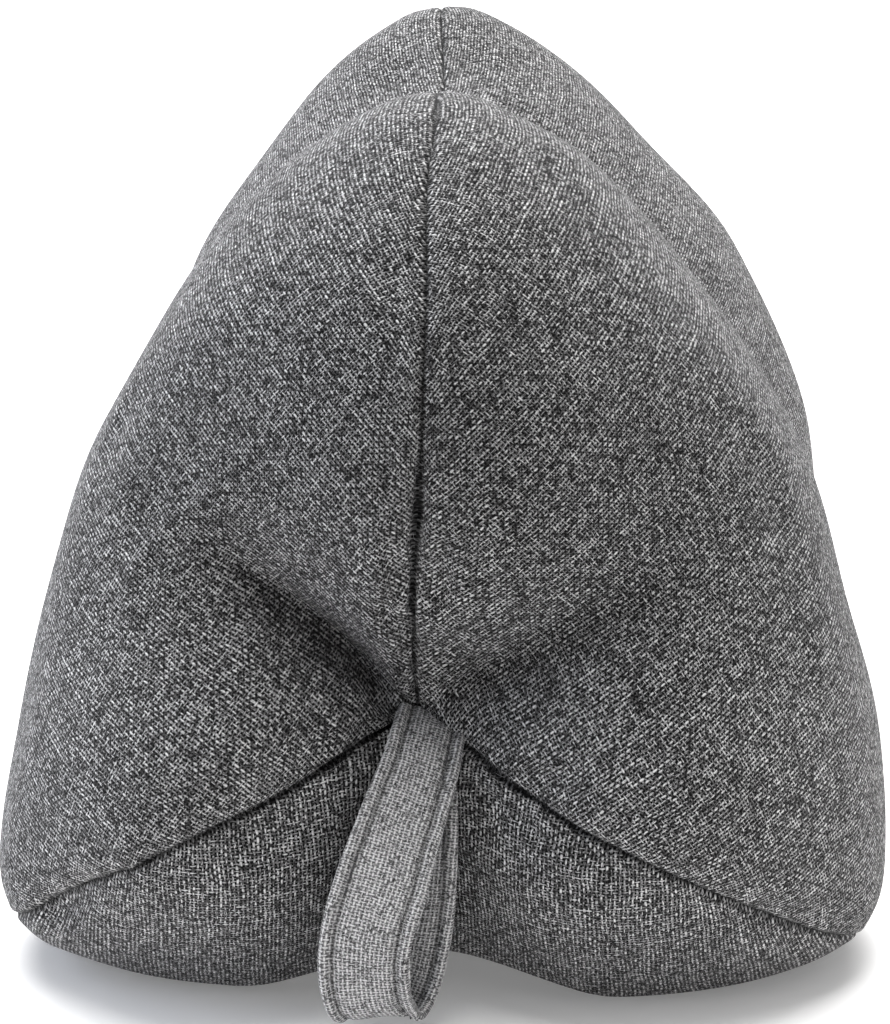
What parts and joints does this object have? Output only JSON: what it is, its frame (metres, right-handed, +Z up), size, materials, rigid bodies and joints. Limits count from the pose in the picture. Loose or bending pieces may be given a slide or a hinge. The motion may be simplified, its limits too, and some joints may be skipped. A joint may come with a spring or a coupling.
{
  "type": "bone-shaped neck pillow",
  "caption": "Firm bone-shaped neck pillow of melange grey cloth, with swollen lobed ends, a narrow waist and a sewn hanging loop.",
  "frame": {"origin": "on the surface under the middle of the whole object", "axes": "+Z up; +Y along the pillow, away from the end with the loop; +X to the right as seen from the loop's end"},
  "size_m": [0.17, 0.3236, 0.1631],
  "materials": {
    "cover_cloth": "plain-woven melange upholstery cloth, charcoal and light grey yarns",
    "loop_cloth": "the same cloth folded into a tape and topstitched"
  },
  "bodies": {
    "root": {"pillow_body": "cover_cloth", "hang_loop": "loop_cloth"}
  },
  "joints": []
}
